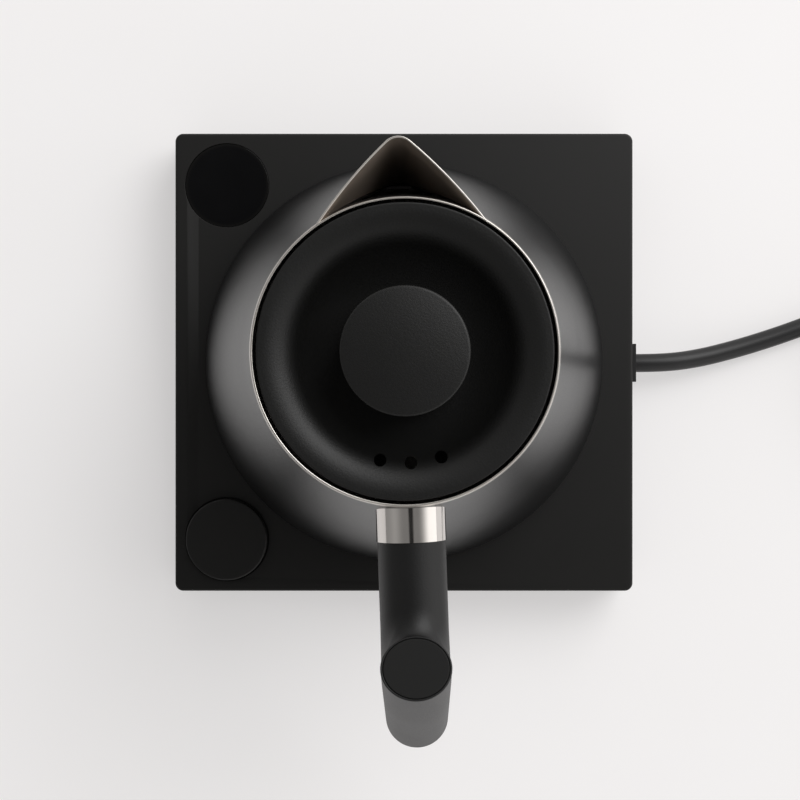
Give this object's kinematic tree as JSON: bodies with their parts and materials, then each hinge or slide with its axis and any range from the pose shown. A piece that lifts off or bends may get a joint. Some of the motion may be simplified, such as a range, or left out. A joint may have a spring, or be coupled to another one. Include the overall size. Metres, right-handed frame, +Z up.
{
  "type": "electric kettle",
  "caption": "Tapered black electric kettle with a beak spout, dished lid with knob and straight raked handle, on a square power base with round display and dial.",
  "frame": {"origin": "middle of the base's square footprint, at the table plane under the feet", "axes": "+X to the cord side of the base, +Y to the spout, +Z up"},
  "size_m": [0.3395, 0.2172, 0.184],
  "materials": {
    "jug_paint": "fine matt black paint",
    "bare_steel": "fine brushed",
    "polished_steel": "polished",
    "base_plastic": "fine spark texture",
    "floor_plastic": "moulded",
    "lid_plastic": "fine grain",
    "grip_plastic": "soft touch, fine grain",
    "display_gloss": "glossy, nearly black",
    "dial_plastic": "smooth",
    "foot_rubber": "soft",
    "silicone": "translucent grey",
    "connector_plastic": "smooth",
    "contact_brass": "bright",
    "circuit_board": "solder resist",
    "component_black": "moulded",
    "component_white": "moulded",
    "steel_screw": "zinc plated",
    "heater_aluminium": "cast",
    "plate_steel": "rolled",
    "cord_sheath": "matt",
    "tie_plastic": "soft",
    "plug_plastic": "moulded"
  },
  "bodies": {
    "base": {"base_cover": "base_plastic", "base_floor": "floor_plastic", "base_feet": "foot_rubber", "base_screws": "steel_screw", "base_connector": "connector_plastic", "base_contacts": "contact_brass", "display_window": "display_gloss", "display_module": "component_black", "control_board": "circuit_board", "board_screws": "steel_screw", "encoder_body": "component_black", "encoder_dome": "steel_screw", "power_board": "circuit_board", "power_relay": "component_black", "transformer": "component_black", "smoothing_capacitor": "component_black", "cord_terminal": "component_white", "board_link": "component_white", "hold_switch": "component_black", "unit_switch": "component_black", "cord_gland": "cord_sheath", "cord_tail": "cord_sheath", "cord_clamp": "component_black", "power_cord": "cord_sheath", "cord_coil": "cord_sheath", "cord_end": "cord_sheath", "coil_tie": "tie_plastic", "plug_relief": "plug_plastic", "plug_body": "plug_plastic", "plug_pins": "contact_brass"},
    "coupling": {"connector_socket": "connector_plastic", "jug_contacts": "contact_brass"},
    "jug": {"vessel": "jug_paint", "rim_ring": "bare_steel", "spout": "jug_paint", "heater_plate": "plate_steel", "heating_element": "heater_aluminium", "element_clamp": "heater_aluminium", "thermal_cutout": "component_black", "temperature_probe": "plate_steel", "probe_seal": "silicone", "bottom_posts": "steel_screw", "bottom_cover": "base_plastic", "bottom_screws": "steel_screw", "handle_collar": "polished_steel", "handle_stud": "steel_screw", "handle": "grip_plastic", "thumb_rest": "grip_plastic", "grip_end_cap": "grip_plastic"},
    "lid_ring": {"lid_seal": "silicone"},
    "lid": {"lid_shell": "lid_plastic", "lid_knob": "lid_plastic", "lid_pan": "plate_steel", "lid_spacer": "component_white", "lid_screw": "steel_screw"},
    "rotor": {"encoder_rotor": "component_white"},
    "dial": {"control_dial": "dial_plastic", "dial_shaft": "steel_screw"},
    "hold_knob": {"hold_slider": "base_plastic"},
    "unit_knob": {"unit_slider": "base_plastic"}
  },
  "joints": [
    {"name": "jug_lift", "type": "slide", "parent": "base", "child": "coupling", "axis": [0, 0, 1], "range_m": [0, 0.06]},
    {"name": "jug_turn", "type": "hinge", "parent": "coupling", "child": "jug", "pos_m": [0, 0, 0.025], "axis": [0, 0, 1], "continuous": true},
    {"name": "lid_lift", "type": "slide", "parent": "jug", "child": "lid_ring", "axis": [0, 0, 1], "range_m": [0, 0.05]},
    {"name": "lid_turn", "type": "hinge", "parent": "lid_ring", "child": "lid", "pos_m": [0, 0, 0.17], "axis": [0, 0, 1], "continuous": true},
    {"name": "dial_turn", "type": "hinge", "parent": "base", "child": "rotor", "pos_m": [-0.0665, -0.0665, 0.017], "axis": [0, 0, 1], "continuous": true},
    {"name": "dial_press", "type": "slide", "parent": "rotor", "child": "dial", "axis": [0, 0, -1], "range_m": [0, 0.0006], "stiffness_N_per_m": 1500, "springref_m": -0.0007},
    {"name": "hold_slide", "type": "slide", "parent": "base", "child": "hold_knob", "axis": [0, 1, 0], "range_m": [0, 0.002]},
    {"name": "unit_slide", "type": "slide", "parent": "base", "child": "unit_knob", "axis": [0, 1, 0], "range_m": [0, 0.002]}
  ]
}
